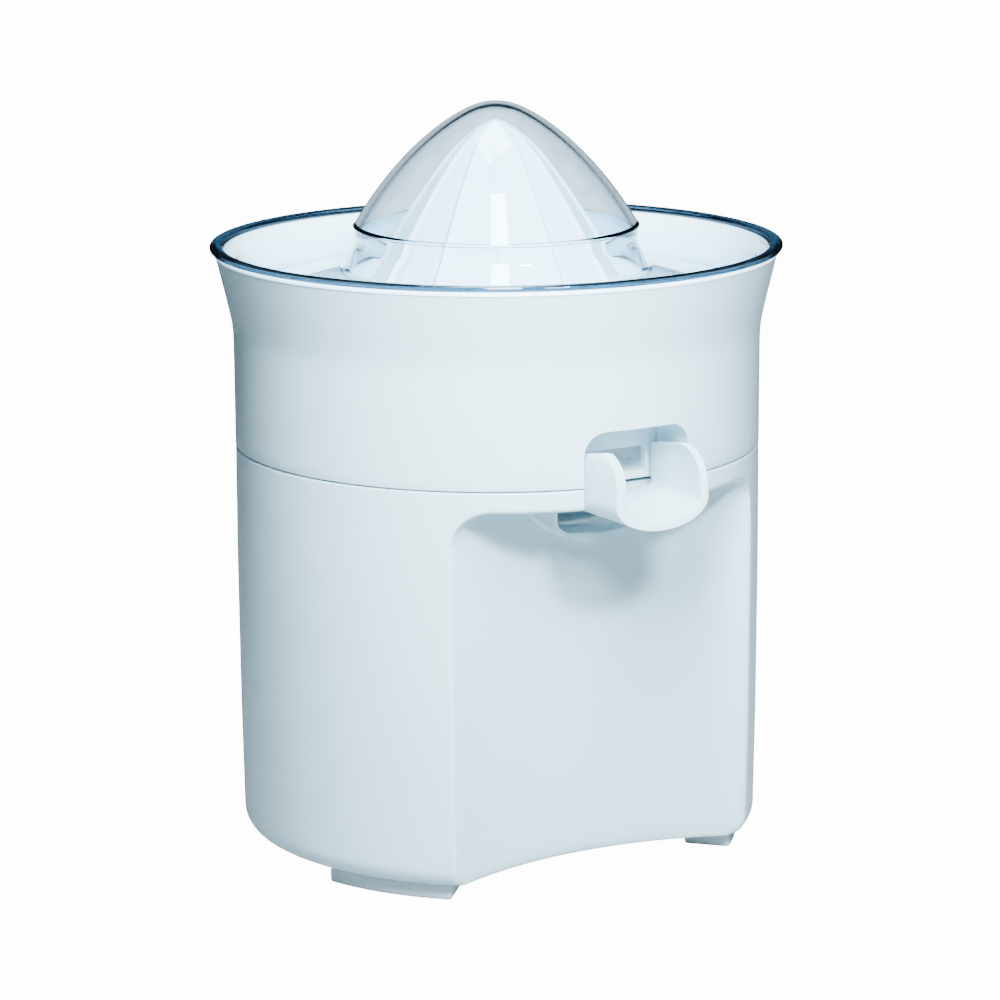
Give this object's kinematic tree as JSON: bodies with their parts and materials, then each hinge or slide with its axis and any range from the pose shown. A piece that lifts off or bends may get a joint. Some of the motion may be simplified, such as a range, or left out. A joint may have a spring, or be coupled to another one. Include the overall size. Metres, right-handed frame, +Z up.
{
  "type": "electric citrus press",
  "caption": "Upright electric citrus press: motor base with a glass bay, lift-off juice bowl with tilting spout, strainer, ribbed cone and clear domed cover.",
  "frame": {"origin": "centre of the press on the surface that its feet stand on", "axes": "+Z up along the drive shaft; -Y towards the front, where the spout and the glass bay are; +X is to the right for someone who looks at the front"},
  "size_m": [0.164, 0.169, 0.2161],
  "materials": {
    "white_housing": "smooth satin-gloss moulded white plastic with a cool tint",
    "foot_plastic": "matt light grey moulded plastic",
    "clear_cover": "clear polished plastic, blue-grey at its edges",
    "black_rubber": "matt moulded rubber",
    "zinc_steel": "zinc-plated screw steel",
    "gear_plastic": "natural acetal",
    "grey_plastic": "moulded grey plastic",
    "dark_plastic": "moulded black plastic",
    "copper_winding": "enamelled winding wire",
    "laminated_steel": "stacked sheet steel",
    "sintered_bronze": "sintered bronze",
    "bright_steel": "ground steel"
  },
  "bodies": {
    "motor_base": {"base_housing": "white_housing", "bottom_cover": "white_housing", "cord_gland": "black_rubber", "foot_front_left": "foot_plastic", "foot_front_right": "foot_plastic", "foot_rear_left": "foot_plastic", "foot_rear_right": "foot_plastic", "bottom_screw_1": "zinc_steel", "bottom_screw_2": "zinc_steel", "bottom_screw_3": "zinc_steel", "bottom_screw_4": "zinc_steel", "terminal_block": "dark_plastic", "motor_core": "laminated_steel", "motor_coil": "copper_winding", "motor_lower_bracket": "bright_steel", "motor_upper_bracket": "bright_steel", "motor_screw_right": "zinc_steel", "motor_screw_left": "zinc_steel", "gearbox_housing": "grey_plastic", "gearbox_cover": "grey_plastic", "gearbox_screw_1": "zinc_steel", "gearbox_screw_2": "zinc_steel", "gearbox_screw_3": "zinc_steel", "gearbox_screw_4": "zinc_steel", "intermediate_axle": "bright_steel", "lower_bush": "sintered_bronze", "upper_bush": "sintered_bronze", "shaft_seal": "black_rubber", "micro_switch": "dark_plastic"},
    "output_gear": {"output_gear": "gear_plastic", "return_spring": "bright_steel"},
    "drive_shaft": {"drive_shaft": "bright_steel"},
    "intermediate_gear": {"intermediate_gear": "gear_plastic"},
    "motor_rotor": {"motor_rotor": "bright_steel"},
    "switch_lever": {"switch_lever": "bright_steel"},
    "juice_bowl": {"juice_bowl": "white_housing", "strainer": "white_housing", "spout_pin_left": "bright_steel", "spout_pin_right": "bright_steel"},
    "spout": {"spout": "white_housing"},
    "cone": {"cone": "white_housing", "cone_driver": "grey_plastic"},
    "dust_cover": {"dust_cover": "clear_cover"}
  },
  "joints": [
    {"name": "output_gear_spin", "type": "hinge", "parent": "motor_base", "child": "output_gear", "pos_m": [0, 0, 0.08], "axis": [0, 0, 1], "continuous": true},
    {"name": "intermediate_spin", "type": "hinge", "parent": "motor_base", "child": "intermediate_gear", "pos_m": [0, 0.036, 0.07], "axis": [0, 0, 1], "continuous": true},
    {"name": "rotor_spin", "type": "hinge", "parent": "motor_base", "child": "motor_rotor", "pos_m": [0, 0, 0.04], "axis": [0, 0, 1], "continuous": true},
    {"name": "shaft_press", "type": "slide", "parent": "output_gear", "child": "drive_shaft", "axis": [0, 0, 1], "range_m": [-0.003, 0], "stiffness_N_per_m": 400, "springref_m": 0.012, "deforming": ["return_spring"]},
    {"name": "lever_tilt", "type": "hinge", "parent": "motor_base", "child": "switch_lever", "pos_m": [0.0355, 0, 0.1018], "axis": [0, 1, 0], "range_deg": [-7.5, 0]},
    {"name": "bowl_lift", "type": "slide", "parent": "motor_base", "child": "juice_bowl", "axis": [0, 0, 1], "range_m": [0, 0.08]},
    {"name": "cone_lift", "type": "slide", "parent": "drive_shaft", "child": "cone", "axis": [0, 0, 1], "range_m": [0, 0.08]},
    {"name": "cover_lift", "type": "slide", "parent": "juice_bowl", "child": "dust_cover", "axis": [0, 0, 1], "range_m": [0, 0.07]},
    {"name": "spout_tilt", "type": "hinge", "parent": "juice_bowl", "child": "spout", "pos_m": [0, -0.064, 0.122], "axis": [-1, 0, 0], "range_deg": [0, 20]}
  ],
  "couplings": [
    {"joint": "intermediate_spin", "follows": "output_gear_spin", "ratio": -5},
    {"joint": "rotor_spin", "follows": "output_gear_spin", "ratio": 25},
    {"joint": "lever_tilt", "follows": "shaft_press", "rad_per_m": 43},
    {"joint": "cone_lift", "follows": "bowl_lift", "ratio": 1}
  ]
}
